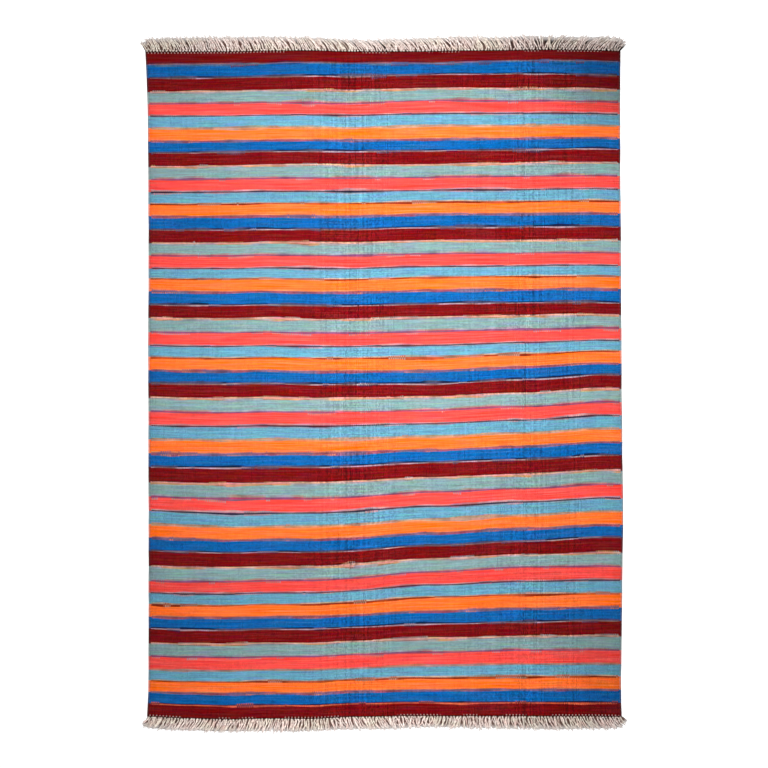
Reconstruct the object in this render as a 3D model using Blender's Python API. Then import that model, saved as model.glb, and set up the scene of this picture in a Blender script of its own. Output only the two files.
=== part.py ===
"""A flat-woven kilim rug: one woven field with corded selvedges, and a knotted fringe at each end.

The rug lies flat on its underside. Its width runs along X, its length along Y, and Z is up.
The origin is on the floor under the middle of the whole rug, fringes included.
The far end is at +Y and the near end at -Y. Sizes are in metres, and in the tables in millimetres.
"""

import math
import random
from collections import namedtuple

import bmesh
import bpy

MM = 0.001

# Woven field
FIELD_WIDTH = 1.704          # outside the two selvedges, where the rug is of its usual width
FIELD_LENGTH = 2.400         # from one line of knots to the other
WEAVE_THICKNESS = 3.0 * MM
SWELL_HEIGHT = 0.35 * MM     # how far the lying cloth swells and dips over its thickness
SWELL_LENGTH = 0.62          # from one swell to the next, along the rug
SWELL_SLANT = 0.3            # how far the swells run askew
SWELL_CROSS_SHARE = 0.7      # swells across the rug for each one along it
SWELL_SHIFT = 0.4            # where they start, in radians
END_ROUNDING = 2.5 * MM      # how far in from each end the cloth reaches its full thickness
END_EDGE_HEIGHT = 2.0 * MM
FIELD_COLUMNS = 20           # steps across, between the selvedges
FIELD_ROWS = 26              # steps along

# Fringe
STRANDS = 150                # at each end
SEAM_GAP = 0.33 * MM         # between the cloth and the strip that holds the roots
STRIP_DEPTH = 3.5 * MM
STRIP_HEIGHT = 2.8 * MM
STRAND_TAPER = 0.62          # width of a strand's flat top, as a share of its width on the floor
REACH_SCATTER = 2.5 * MM
LEAN_SCATTER = 1.5 * MM
SEED_FAR = 11
SEED_NEAR = 23

# The selvedge cord in section, from its outer edge inwards: a fat cord, a groove, then the weave.
Section = namedtuple("Section", "inset height")
SELVEDGE_SECTION = (
    Section(inset=0.0, height=1.6),
    Section(inset=0.9, height=3.5),
    Section(inset=3.2, height=4.4),
    Section(inset=5.6, height=3.8),
    Section(inset=7.0, height=2.4),
    Section(inset=9.0, height=3.0),
)

# How far each selvedge stands out from the usual width, from the far end (0) to the near end (1).
Side = namedtuple("Side", "along left right")
SIDE_WANDER = (
    Side(along=0.00, left=11.0, right=-4.0),
    Side(along=0.04, left=5.8, right=-4.4),
    Side(along=0.10, left=2.2, right=-4.2),
    Side(along=0.16, left=0.6, right=-4.0),
    Side(along=0.28, left=-0.6, right=-2.0),
    Side(along=0.48, left=0.5, right=0.9),
    Side(along=0.61, left=-0.4, right=3.7),
    Side(along=0.70, left=-0.7, right=6.7),
    Side(along=0.77, left=-0.9, right=3.7),
    Side(along=0.87, left=-0.9, right=1.5),
    Side(along=0.95, left=-0.5, right=-1.3),
    Side(along=1.00, left=1.4, right=-1.0),
)

# How far each end stands out from the usual length, from the left (0) to the right (1).
End = namedtuple("End", "across far near")
END_WANDER = (
    End(across=0.00, far=-3.2, near=-2.0),
    End(across=0.08, far=-3.0, near=4.0),
    End(across=0.17, far=-2.4, near=8.0),
    End(across=0.26, far=0.5, near=5.0),
    End(across=0.34, far=1.5, near=6.0),
    End(across=0.44, far=-2.4, near=-1.5),
    End(across=0.56, far=-2.4, near=-4.2),
    End(across=0.68, far=1.0, near=-3.8),
    End(across=0.85, far=4.0, near=-3.2),
    End(across=0.93, far=3.0, near=-3.0),
    End(across=1.00, far=-0.5, near=-1.5),
)

# How far the strands reach beyond the cloth, and how far their tips lean to the right.
# At each corner the last few strands fan outwards and lie shorter.
Lay = namedtuple("Lay", "across reach lean")
FAR_LAY = (
    Lay(across=0.00, reach=36.0, lean=-14.0),
    Lay(across=0.03, reach=46.0, lean=-18.0),
    Lay(across=0.14, reach=51.0, lean=-12.0),
    Lay(across=0.22, reach=51.0, lean=-7.0),
    Lay(across=0.36, reach=45.0, lean=-9.0),
    Lay(across=0.49, reach=39.0, lean=-22.0),
    Lay(across=0.63, reach=48.0, lean=-4.0),
    Lay(across=0.75, reach=46.0, lean=1.0),
    Lay(across=0.84, reach=51.0, lean=2.0),
    Lay(across=0.90, reach=46.0, lean=20.0),
    Lay(across=0.97, reach=47.0, lean=26.0),
    Lay(across=1.00, reach=35.0, lean=27.0),
)
NEAR_LAY = (
    Lay(across=0.00, reach=31.0, lean=-23.0),
    Lay(across=0.03, reach=42.0, lean=-14.0),
    Lay(across=0.07, reach=44.0, lean=2.0),
    Lay(across=0.18, reach=44.0, lean=-6.0),
    Lay(across=0.31, reach=49.0, lean=-1.0),
    Lay(across=0.37, reach=45.0, lean=3.0),
    Lay(across=0.47, reach=48.0, lean=6.0),
    Lay(across=0.62, reach=41.0, lean=2.0),
    Lay(across=0.74, reach=48.0, lean=7.0),
    Lay(across=0.84, reach=50.0, lean=11.0),
    Lay(across=0.96, reach=43.0, lean=15.0),
    Lay(across=1.00, reach=31.0, lean=24.0),
)

# One strand, from its root to its tip: the knot, the spread of the twist, and the cut end.
Stage = namedtuple("Stage", "along bend width height")
STRAND_ROOT_WIDTH = 5.2 * MM
STRAND_STAGES = (
    Stage(along=0.12, bend=0.06, width=7.8, height=3.9),
    Stage(along=0.50, bend=0.40, width=6.8, height=3.4),
    Stage(along=1.00, bend=1.00, width=5.6, height=2.6),
)

# Finishes: linear colour and roughness
WOOL_RED = (0.205, 0.0065, 0.0085, 1.0)
WOOL_ROUGHNESS = 0.92
COTTON_CREAM = (0.60, 0.50, 0.42, 1.0)
COTTON_ROUGHNESS = 0.88


def clear_scene():
    """Remove the objects that a new scene starts with."""
    for obj in list(bpy.data.objects):
        bpy.data.objects.remove(obj, do_unlink=True)


def between(rows, at, column):
    """Read a column of a table at any place, easing from one row to the next."""
    for before, after in zip(rows, rows[1:]):
        if at <= after[0]:
            share = (at - before[0]) / (after[0] - before[0])
            ease = share * share * (3.0 - 2.0 * share)
            start = getattr(before, column)
            return start + (getattr(after, column) - start) * ease
    return getattr(rows[-1], column)


def fabric(name, colour, roughness):
    """A matt woven finish in one colour."""
    material = bpy.data.materials.new(name)
    material.use_nodes = True
    shader = material.node_tree.nodes["Principled BSDF"]
    shader.inputs["Base Color"].default_value = colour
    shader.inputs["Roughness"].default_value = roughness
    shader.inputs["Metallic"].default_value = 0.0
    material.diffuse_color = colour
    return material


def solid(name, bm, material):
    """Turn a closed mesh into an object with its faces pointing out."""
    bmesh.ops.recalc_face_normals(bm, faces=bm.faces)
    mesh = bpy.data.meshes.new(name)
    bm.to_mesh(mesh)
    bm.free()
    mesh.materials.append(material)
    obj = bpy.data.objects.new(name, mesh)
    bpy.context.scene.collection.objects.link(obj)
    return obj


def side_edges(along):
    """X of the left and the right edge of the field at a share of its length."""
    left = -FIELD_WIDTH / 2 - between(SIDE_WANDER, along, "left") * MM
    right = FIELD_WIDTH / 2 + between(SIDE_WANDER, along, "right") * MM
    return left, right


def end_edges(across):
    """Y of the far and the near end of the field at a share of its width."""
    far = FIELD_LENGTH / 2 + between(END_WANDER, across, "far") * MM
    near = -FIELD_LENGTH / 2 - between(END_WANDER, across, "near") * MM
    return far, near


def field_columns(along):
    """X and height of each step across the field: a selvedge, the weave, the other selvedge."""
    left, right = side_edges(along)
    cord = [(row.inset * MM, row.height * MM) for row in SELVEDGE_SECTION]
    weave_start = left + cord[-1][0]
    weave_step = (right - left - 2 * cord[-1][0]) / FIELD_COLUMNS
    weave = [(weave_start + weave_step * step, WEAVE_THICKNESS) for step in range(1, FIELD_COLUMNS)]
    left_cord = [(left + inset, height) for inset, height in cord]
    right_cord = [(right - inset, height) for inset, height in reversed(cord)]
    return left_cord + weave + right_cord


def field_rows():
    """Share of the length at each step along, with one more step by each end for its rounding."""
    rounding = END_ROUNDING / FIELD_LENGTH
    steps = [step / FIELD_ROWS for step in range(1, FIELD_ROWS)]
    return [0.0, rounding] + steps + [1.0 - rounding, 1.0]


def swell(x, y):
    """How far the cloth's upper face rises or dips where it lies a little uneven."""
    turn = 2 * math.pi / SWELL_LENGTH
    lengthwise = math.sin(turn * (y + SWELL_SLANT * x))
    crosswise = math.cos(turn * SWELL_CROSS_SHARE * x + SWELL_SHIFT)
    return SWELL_HEIGHT * lengthwise * crosswise


def field_grids(bm):
    """The upper and the under side of the field, as two grids of points."""
    upper = []
    under = []
    for along in field_rows():
        columns = field_columns(along)
        left, right = columns[0][0], columns[-1][0]
        upper_row = []
        under_row = []
        for x, height in columns:
            far, near = end_edges((x - left) / (right - left))
            y = far + (near - far) * along
            if along in (0.0, 1.0):
                height *= END_EDGE_HEIGHT / WEAVE_THICKNESS
            elif height == WEAVE_THICKNESS:
                height += swell(x, y)
            upper_row.append(bm.verts.new((x, y, height)))
            under_row.append(bm.verts.new((x, y, 0.0)))
        upper.append(upper_row)
        under.append(under_row)
    return upper, under


def close_slab(bm, upper, under):
    """Join two grids of the same size into one closed slab."""
    rows = len(upper)
    columns = len(upper[0])
    for grid in (upper, under):
        for row in range(rows - 1):
            for column in range(columns - 1):
                bm.faces.new((grid[row][column], grid[row][column + 1],
                              grid[row + 1][column + 1], grid[row + 1][column]))
    for row in range(rows - 1):
        for column in (0, columns - 1):
            bm.faces.new((upper[row][column], upper[row + 1][column],
                          under[row + 1][column], under[row][column]))
    for column in range(columns - 1):
        for row in (0, rows - 1):
            bm.faces.new((upper[row][column], upper[row][column + 1],
                          under[row][column + 1], under[row][column]))


def woven_field(material):
    """The cloth with its selvedges, and the lines along its two ends that the fringes follow."""
    bm = bmesh.new()
    upper, under = field_grids(bm)
    close_slab(bm, upper, under)
    far_line = [vert.co.copy() for vert in under[0]]
    near_line = [vert.co.copy() for vert in under[-1]]
    return solid("kilim_field", bm, material), far_line, near_line


def line_y(line, x):
    """Y of an end of the cloth at a place across it."""
    for before, after in zip(line, line[1:]):
        if x <= after.x:
            return before.y + (after.y - before.y) * (x - before.x) / (after.x - before.x)
    return line[-1].y


def strand_ring(bm, place, heading, width, height):
    """Four points round a strand: flat on the floor, and narrower on top."""
    outward = math.copysign(1.0, heading[1])
    side_x = outward * heading[1] * width / 2
    side_y = -outward * heading[0] * width / 2
    x, y = place
    return (
        bm.verts.new((x - side_x, y - side_y, 0.0)),
        bm.verts.new((x + side_x, y + side_y, 0.0)),
        bm.verts.new((x + side_x * STRAND_TAPER, y + side_y * STRAND_TAPER, height)),
        bm.verts.new((x - side_x * STRAND_TAPER, y - side_y * STRAND_TAPER, height)),
    )


def grow_strand(bm, ring, root, reach, lean):
    """Lead one strand out of its root, through its stages, to its cut end."""
    places = [root]
    for stage in STRAND_STAGES:
        places.append((root[0] + lean * stage.bend, root[1] + reach * stage.along))
    for step, stage in enumerate(STRAND_STAGES, start=1):
        before = places[step - 1]
        after = places[min(step + 1, len(STRAND_STAGES))]
        run = math.dist(before, after)
        heading = ((after[0] - before[0]) / run, (after[1] - before[1]) / run)
        next_ring = strand_ring(bm, places[step], heading, stage.width * MM, stage.height * MM)
        for corner in range(4):
            other = (corner + 1) % 4
            bm.faces.new((ring[corner], ring[other], next_ring[other], next_ring[corner]))
        ring = next_ring
    bm.faces.new(ring)


def root_strip(bm, line, roots, outward):
    """The strip that holds the roots. Returns the ring that each strand grows out of."""
    stations = [line[0].x]
    for root in roots:
        stations += [root - STRAND_ROOT_WIDTH / 2, root + STRAND_ROOT_WIDTH / 2]
    stations.append(line[-1].x)
    upper = [[], []]
    under = [[], []]
    for x in stations:
        y = line_y(line, x) + outward * SEAM_GAP
        for row, depth in enumerate((0.0, STRIP_DEPTH)):
            upper[row].append(bm.verts.new((x, y + outward * depth, STRIP_HEIGHT)))
            under[row].append(bm.verts.new((x, y + outward * depth, 0.0)))
    close_slab(bm, upper, under)
    rings = []
    for first in range(1, len(stations) - 1, 2):
        ring = (under[1][first], under[1][first + 1], upper[1][first + 1], upper[1][first])
        bm.faces.remove(bm.faces.get(ring))
        rings.append(ring)
    return rings


def fringe(name, material, line, lay, outward, seed):
    """A strip along one end of the cloth, with the strands growing out of it."""
    draw = random.Random(seed)
    bm = bmesh.new()
    pitch = (line[-1].x - line[0].x) / STRANDS
    roots = [line[0].x + pitch * (strand + 0.5) for strand in range(STRANDS)]
    rings = root_strip(bm, line, roots, outward)
    for strand, (root, ring) in enumerate(zip(roots, rings)):
        across = (strand + 0.5) / STRANDS
        reach = between(lay, across, "reach") * MM + draw.uniform(-1, 1) * REACH_SCATTER
        lean = between(lay, across, "lean") * MM + draw.uniform(-1, 1) * LEAN_SCATTER
        place = (root, line_y(line, root) + outward * (SEAM_GAP + STRIP_DEPTH))
        grow_strand(bm, ring, place, outward * (reach - STRIP_DEPTH), lean)
    return solid(name, bm, material)


def rest_on_origin(objects):
    """Move the rug so that the origin is on the floor under the middle of the whole of it."""
    corners = [vert.co for obj in objects for vert in obj.data.vertices]
    middle_x = (min(co.x for co in corners) + max(co.x for co in corners)) / 2
    middle_y = (min(co.y for co in corners) + max(co.y for co in corners)) / 2
    for obj in objects:
        obj.location = (-middle_x, -middle_y, 0.0)


def main():
    clear_scene()
    wool = fabric("red_wool", WOOL_RED, WOOL_ROUGHNESS)
    field, far_line, near_line = woven_field(wool)
    far_cotton = fabric("far_fringe_cotton", COTTON_CREAM, COTTON_ROUGHNESS)
    near_cotton = fabric("near_fringe_cotton", COTTON_CREAM, COTTON_ROUGHNESS)
    far = fringe("fringe_far", far_cotton, far_line, FAR_LAY, 1, SEED_FAR)
    near = fringe("fringe_near", near_cotton, near_line, NEAR_LAY, -1, SEED_NEAR)
    rest_on_origin((field, far, near))


main()
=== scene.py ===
"""The looks of a flat-woven kilim rug: its striped wool weave, corded selvedges and knotted fringes.

The rug lies flat on the floor, with its width along X and its length along Y. Its far end is at +Y.
Sizes are in metres, and in the tables and the shaders in millimetres, unless a comment says otherwise.
Across is a share of the width from the left, and along is a share of the length from the far end.
"""

import math
import random
from collections import namedtuple

import bpy
import numpy as np
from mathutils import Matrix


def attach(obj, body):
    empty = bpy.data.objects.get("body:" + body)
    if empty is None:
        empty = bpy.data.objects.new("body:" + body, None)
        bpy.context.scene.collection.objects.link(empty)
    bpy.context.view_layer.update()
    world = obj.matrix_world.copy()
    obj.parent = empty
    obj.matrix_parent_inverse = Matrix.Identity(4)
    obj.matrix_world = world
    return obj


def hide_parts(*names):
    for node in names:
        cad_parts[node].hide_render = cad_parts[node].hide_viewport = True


bl_info = {
    "name": "Striped Kilim",
    "version": (1, 0, 0),
    "blender": (4, 5, 0),
    "location": "3D View > Sidebar > Kilim",
    "description": "Weaves a striped kilim, ties its fringes and sets it on a pale studio floor",
    "category": "Object",
}

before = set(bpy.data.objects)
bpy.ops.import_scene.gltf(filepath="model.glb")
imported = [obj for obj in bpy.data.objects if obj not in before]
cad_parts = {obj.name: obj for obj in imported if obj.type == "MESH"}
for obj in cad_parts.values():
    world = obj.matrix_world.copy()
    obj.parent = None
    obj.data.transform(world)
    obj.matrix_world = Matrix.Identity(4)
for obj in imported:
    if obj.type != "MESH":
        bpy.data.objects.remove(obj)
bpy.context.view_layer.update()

MM = 0.001


def rows(kind, values):
    """A table: rows of values under the named columns of its kind."""
    return tuple(kind(*row) for row in values)


# The field, as the solid has it
FIELD_WIDTH = 1.704
FIELD_LENGTH = 2.400
WIDTH_MM = FIELD_WIDTH / MM
LENGTH_MM = FIELD_LENGTH / MM
CENTRING = (0.93 * MM, 0.06 * MM)  # from the middle of the usual width and length to the origin
WEAVE_THICKNESS = 3.0 * MM
SWELL_HEIGHT = 0.35 * MM
SWELL_LENGTH = 0.62
SWELL_SLANT = 0.3
SWELL_CROSS_SHARE = 0.7
SWELL_SHIFT = 0.4
END_ROUNDING = 2.5 * MM
END_EDGE_SHARE = 0.66  # height of the cut end, as a share of the thickness

# The selvedge cord in section, from its outer edge inwards. The first row is where it meets the floor.
Section = namedtuple("Section", "inset height")
SELVEDGE_SECTION = rows(Section, (
    (0.5, 0.0), (0.0, 1.3), (0.2, 2.4), (0.9, 3.5), (2.0, 4.2),
    (3.2, 4.4), (4.5, 4.2), (5.6, 3.7), (6.4, 2.9), (7.0, 2.2),
    (7.7, 2.2), (8.3, 2.6), (9.0, 2.85),
))
SELVEDGE_MM = SELVEDGE_SECTION[-1].inset
SELVEDGE_WIDTH = SELVEDGE_MM * MM

# How far each selvedge stands out from the usual width
Side = namedtuple("Side", "along left right")
SIDE_WANDER = rows(Side, (
    (0.00, 11.6, -2.5), (0.04, 6.4, -3.3), (0.10, 2.8, -3.1), (0.16, 1.2, -2.9),
    (0.28, 0.0, -0.9), (0.48, 1.1, 2.0), (0.61, 0.2, 4.8), (0.70, -0.1, 7.8),
    (0.77, -0.3, 4.8), (0.87, -0.3, 2.6), (0.95, 0.1, -0.2), (0.98, 2.8, 0.5),
    (1.00, 5.2, 2.1),
))

# How far each end stands out from the usual length
End = namedtuple("End", "across far near")
END_WANDER = rows(End, (
    (0.00, -3.2, -2.0), (0.08, -3.0, 4.0), (0.17, -2.4, 8.0), (0.26, 0.5, 5.0),
    (0.34, 1.5, 6.0), (0.44, -2.4, -1.5), (0.56, -2.4, -4.2), (0.68, 1.0, -3.8),
    (0.85, 4.0, -3.2), (0.93, 3.0, -3.0), (1.00, -0.5, -1.5),
))

# The stripes, from the far end: how much of the length each takes. A border lies on each line between two.
FIRST_MAROON = 43
FIRST_BLUE = 45
LAST_MAROON = 46
Repeat = namedtuple("Repeat", "maroon sage coral sky orange blue")
REPEATS = rows(Repeat, (
    (51, 44, 44, 44, 47, 41),
    (50, 46, 47, 42, 45, 48),
    (49, 45, 46, 38, 47, 48),
    (49, 50, 48, 41, 48, 46),
    (51, 49, 49, 48, 50, 48),
    (56, 51, 50, 48, 49, 45),
    (53, 47, 47, 43, 49, 46),
    (52, 47, 49, 41, 46, 44),
))
KINDS = len(Repeat._fields)
STRIPE_HEIGHTS = (FIRST_MAROON, FIRST_BLUE) + sum(REPEATS, ()) + (LAST_MAROON,)
STRIPES = len(STRIPE_HEIGHTS)
STRIPE_PITCH = LENGTH_MM / STRIPES

# How far some lines, counted from the far end, drift towards the far end at six places across
DRIFT_PLACES = (0.02, 0.20, 0.40, 0.60, 0.79, 0.98)
Drift = namedtuple("Drift", "line left second third fourth fifth right")
DRIFTS = rows(Drift, (
    (0, 0, 0, 0, 0, 0, 0),
    (1, -4, -3, 1, -1, 4, 4),
    (2, -7, -5, -1, 4, 3, 0),
    (4, -4, -3, -5, 5, -1, -2),
    (8, -5, -2, 0, 0, 1, 6),
    (14, -4, -2, -5, 3, 0, 4),
    (20, -1, 0, -6, 0, 2, 4),
    (26, -2, -1, -6, -6, 7, 26),
    (32, -9, -7, -7, 4, 14, 32),
    (35, -9, -16, -13, 4, 18, 35),
    (38, -12, -12, -13, 5, 19, 35),
    (40, -21, -16, -14, 10, 25, 30),
    (44, -8, -5, -3, 6, 13, 20),
    (47, -9, -4, -4, 3, 9, 11),
    (50, 3, 3, 2, 2, 4, 4),
    (51, 0, 0, 0, 0, 0, 0),
))

# One rib in section, as a share of its relief: the trough, the flank, the crest and the other flank.
RIB_SECTION = (-0.65, 0.15, 0.40, 0.15)
UNDER_STEP = 40  # upper columns for each column of the underside
EDGE_JITTER = 0.45 * MM  # how unevenly the weft turns at the selvedges
EDGE_JITTER_POWER = 40  # how fast that dies out towards the middle
EDGE_SEED = 5
WEFT_MAP = "weft"  # the field's UV map: share across, share of the stripes

# Wool colours as seen in daylight, red, green and blue. 255 is the brightest that a picture shows, and
# the red of two of them is stronger than that.
MAROON = (132, 16, 21)
SAGE = (142, 176, 177)
CORAL = (272, 88, 81)
SKY = (112, 175, 203)
ORANGE = (290, 129, 55)
BLUE = (16, 105, 182)

# How grainy each wool looks, in the order of the stripes: 6, 12, 18 and so on are orange, 7 is blue, and
# the others follow. Stripe 0 is maroon.
Grain = namedtuple("Grain", "orange blue maroon sage coral sky")
GRAINS = Grain(0.46, 0.90, 1.06, 0.58, 0.38, 0.64)

# The borders between the stripes: on every sixth line, counted on from this one, or on these lines only.
# Line 1 is the first inside the rug. Each band starts and stops at a distance from the line, towards the
# near end, and here and there it shows its other colour.
Band = namedtuple("Band", "start stop colour other")
Border = namedtuple("Border", "every only bands")
BORDERS = {
    "sky to orange": Border(0, (), rows(Band, (
        (-5.0, -0.6, (206, 170, 146), (156, 160, 156)),
        (-0.6, 5.2, (152, 50, 24), (200, 86, 46)),
    ))),
    "orange to blue": Border(1, (), rows(Band, (
        (-5.4, -2.4, (214, 124, 94), (224, 142, 98)),
        (-2.4, 6.0, (124, 100, 133), (161, 86, 104)),
    ))),
    "blue to maroon": Border(2, (), rows(Band, (
        (-6.0, -0.4, (28, 39, 74), (80, 79, 111)),
        (-0.4, 2.7, (188, 160, 174), (136, 102, 103)),
    ))),
    "maroon to sage": Border(3, (), rows(Band, (
        (-5.0, -3.2, (60, 8, 12), (78, 16, 14)),
        (-3.2, 0.6, (234, 155, 151), (236, 169, 144)),
        (0.6, 6.0, (208, 154, 112), (168, 166, 172)),
    ))),
    "sage to coral": Border(4, (), rows(Band, (
        (-8.0, -3.0, (160, 160, 166), (176, 145, 138)),
        (-3.0, 0.4, (144, 82, 130), (188, 68, 108)),
        (0.4, 3.2, (168, 84, 102), (136, 100, 124)),
    ))),
    "coral to sky": Border(5, (), rows(Band, (
        (-6.0, -1.6, (206, 148, 156), (202, 126, 131)),
        (-1.6, 2.4, (48, 42, 64), (82, 36, 50)),
        (2.4, 5.6, (142, 156, 172), (128, 145, 171)),
    ))),
    "first maroon to blue": Border(None, (1,), rows(Band, (
        (-8.0, -3.7, (97, 28, 51), (112, 34, 46)),
        (-3.7, -0.5, (139, 107, 136), (152, 102, 114)),
        (-0.5, 5.0, (52, 100, 162), (82, 116, 150)),
    ))),
    "sky to orange, pale": Border(None, (6, 30, 36), rows(Band, (
        (-4.5, 0.1, (171, 160, 144), (188, 147, 124)),
        (0.1, 6.0, (230, 146, 101), (202, 156, 132)),
    ))),
    "last coral to sky": Border(None, (47,), rows(Band, (
        (-5.0, -0.5, (178, 132, 127), (200, 122, 100)),
        (-0.5, 4.0, (167, 142, 135), (143, 146, 155)),
    ))),
    "last blue to maroon": Border(None, (50,), rows(Band, (
        (-3.4, 0.4, (28, 32, 66), (70, 46, 82)),
        (0.2, 5.2, (234, 106, 72), (206, 92, 72)),
    ))),
}
BORDER_REACH = 12.0  # how far to each side of a line a border's ramp goes
BAND_BLUR = 0.35  # over which one band turns into the next
BORDER_INSET = 6.5  # from the edge to where a border stops, at least
INSET_SCATTER = 6.0
INSET_BLUR = 1.0

# Painted light and shade on the wool: how much brighter or darker it looks, across and along
Fade = namedtuple("Fade", "place tone")
PAINTED_LIGHT_ACROSS = rows(Fade, (
    (0.00, 0.94), (0.03, 0.92), (0.08, 0.94), (0.17, 1.00), (0.25, 1.03),
    (0.55, 1.04), (0.65, 1.06), (0.78, 1.04), (0.84, 1.00), (1.00, 1.00),
))
PAINTED_LIGHT_ALONG = rows(Fade, (
    (0.00, 1.03), (0.05, 1.12), (0.09, 1.20), (0.14, 1.17), (0.22, 1.04),
    (0.35, 1.00), (0.50, 0.97), (0.64, 0.94), (0.80, 0.91), (0.90, 0.95),
    (0.95, 1.07), (1.00, 1.12),
))
PAINTED_LIGHT_RANGE = 1.25  # the tone that a curve's full height stands for

# Painted shade on the right side near both ends: where it sets in across, and where and how much along.
CORNER_SHADE_SIDE = (0.80, 0.96)
CornerShade = namedtuple("CornerShade", "start stop depth")
CORNER_SHADE_FAR = CornerShade(0.05, 0.22, 0.38)
CORNER_SHADE_NEAR = CornerShade(0.78, 0.95, 0.22)

# How strongly the ribs show through the weft
Strip = namedtuple("Strip", "across strength")
STRIPS = rows(Strip, (
    (0.000, 0.25), (0.330, 0.25), (0.375, 0.62), (0.400, 0.80),
    (0.500, 0.75), (0.530, 0.35), (0.640, 0.28), (0.700, 0.48),
    (0.735, 0.42), (0.775, 0.70), (0.803, 1.00), (0.830, 0.60),
    (0.855, 0.40), (0.900, 0.70), (0.930, 0.32), (1.000, 0.35),
))

# How a look changes over a surface: how often in two directions, where its pattern starts, how fine it is,
# how far it swings from one extreme to the other, and the noise over which it sets in.
Mottle = namedtuple("Mottle", "first second start detail swing rise", defaults=((0.0, 0.0), 2.0, 1.0, None))

# Mottles of the wool, by metres in both directions
LINE_WANDER = Mottle(2.6, 30.0, detail=1.0)
LINE_WAVER = Mottle(12.0, 60.0, start=(0.0, 7.0), detail=1.0, swing=0.4)
RAGGED_END = Mottle(7.0, 2.0, rise=(0.45, 0.51))
WOOL_FUZZ = Mottle(2600.0, 2600.0, detail=3.0)

# Mottles of the borders, by metres across and from one line to the next
BORDER_WIDTHS = Mottle(5.0, 3.7, swing=1.9)
BORDER_TONES = Mottle(15.0, 6.3, start=(4.0, 0.0), swing=1.1)
BORDER_BEADS = Mottle(9.0, 7.3, detail=1.0)
BORDER_SWAPS = Mottle(5.2, 5.1, detail=1.0, rise=(0.46, 0.54))
BEADS_OVER = 0.60  # noise above this shows a border as beads
SWAP_SHIFT = 2.3 / BORDER_SWAPS.first  # moves the pattern of swaps on from line to line

# Mottles of the dyed wool, by metres across and millimetres along
STREAKS = Mottle(2.4, 0.16, swing=0.42)
BAR_TONES = Mottle(9.0, 0.61, swing=0.84)
DYE_STRENGTHS = Mottle(4.0, 0.33, start=(3.0, 0.0), swing=0.20)
TINTS = Mottle(11.0, 0.30, start=(9.0, 0.0))
BAR_SHIFT = 1.7 / BAR_TONES.first  # moves the pattern of tones on from bar to bar

# The twist of the weft, by millimetres in both directions
WEFT_TWIST = Mottle(1.9, 2.6, swing=0.10)
TWIST_SHIFT = 1.1 / WEFT_TWIST.first  # slants it

# Tones of the wool, as shares of its light
STRIPE_TONE, STRIPE_SEED = 0.07, 31.0
BAR_TONE_PLAIN, BAR_TONE_GRAINY = 0.25, 0.9
RIB_GRAIN, BEAD_GRAIN, PLAIN_GRAIN = 0.45, 0.58, 0.28
TINT_PLAIN, TINT_PALE, TINT_BLACK = 0.45, 1.4, 0.02
WOOL_ROUGHNESS, WOOL_FUZZINESS, FUZZ_HEIGHT = 0.84, 0.12, 0.07
WOOL_SPECULAR = 0.06

CORD_OVERLAP = 0.6  # how far the foot of the selvedge cord counts as cloth
LEAST_WOVEN = 1.0  # how close to an end the wander of the lines may bring a bar of weft
RIBS_PER_KNOT = 3.0

# Painted shade in the weave, painted light on the cords' outermost faces, and the warp ends that peep out:
# how deep or strong each is, and over which distances it sets in, counted from the edge or the end, or from a
# place in from there
RIB_SHADE, BAR_SHADE, SHADE_POWER = 0.34, 0.22, 4.0
GROOVE_PLACE, GROOVE_FALL, GROOVE_SHADE, LEFT_GROOVE_SHADE = 7.5, (0.3, 1.4), 0.16, 0.10
# Painted shade that greys the rims of the cords, and how light its grey is
RIM_FALL, RIM_SHADE_SHARE, RIM_GREY_LIGHT = (5.0, 6.4), 0.60, 0.85
# Painted light on the outermost faces of the cords
OUTERMOST_FALL, OUTERMOST_LIGHT = (0.6, 2.2), 0.5
SIDE_RISE, SIDE_SHADE = (8.0, 45.0), 0.09
END_RISE, END_LIGHT = (0.8, 2.8), 0.12
RAGGED_FALL, RAGGED_SHADE = (3.0, 8.0), 0.45
PEEP_PLACE, PEEP_FALL, PEEP_SHARE = 4.0, (1.2, 3.0), 0.75  # of the warp ends
BAR_ROUNDNESS = 2.5

# The fringes. Along each end: reach beyond the weave, lean of the tips to the right, scatter, and tone.
# The tone is partly the cotton's own, and partly painted light that makes up for the lamp's fall-off towards
# the near end.
Lay = namedtuple("Lay", "across reach lean scatter tone")
FAR_LAY = rows(Lay, (
    (0.00, 48, -18, 3, 1.03), (0.03, 51, -30, 4, 1.08), (0.07, 55, -31, 5, 1.09),
    (0.12, 56, -27, 5, 1.05), (0.18, 58, -22, 6, 1.15), (0.25, 55, -26, 8, 1.25),
    (0.33, 52, -34, 7, 1.12), (0.41, 49, -35, 6, 1.08), (0.49, 44, -38, 5, 1.05),
    (0.55, 49, -38, 6, 1.12), (0.63, 52, -33, 8, 1.16), (0.68, 55, -29, 9, 1.20),
    (0.76, 52, -24, 8, 1.08), (0.82, 56, -16, 10, 0.93), (0.88, 51, 38, 8, 0.88),
    (0.95, 52, 43, 7, 0.84), (1.00, 48, 23, 3, 0.81),
))
NEAR_LAY = rows(Lay, (
    (0.00, 42, -22, 3, 1.22), (0.03, 45, -30, 4, 1.29), (0.06, 46, -30, 5, 1.24),
    (0.10, 47, -28, 5, 1.37), (0.15, 48, -25, 5, 1.36), (0.24, 50, -18, 6, 1.46),
    (0.31, 52, -10, 7, 1.42), (0.38, 48, 14, 6, 1.37), (0.47, 50, 24, 5, 1.33),
    (0.62, 45, -12, 8, 1.33), (0.74, 50, 6, 8, 1.28), (0.84, 53, 22, 7, 1.13),
    (0.93, 49, 28, 6, 1.11), (0.97, 46, 27, 4, 1.07), (1.00, 36, 22, 3, 1.02),
))

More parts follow.
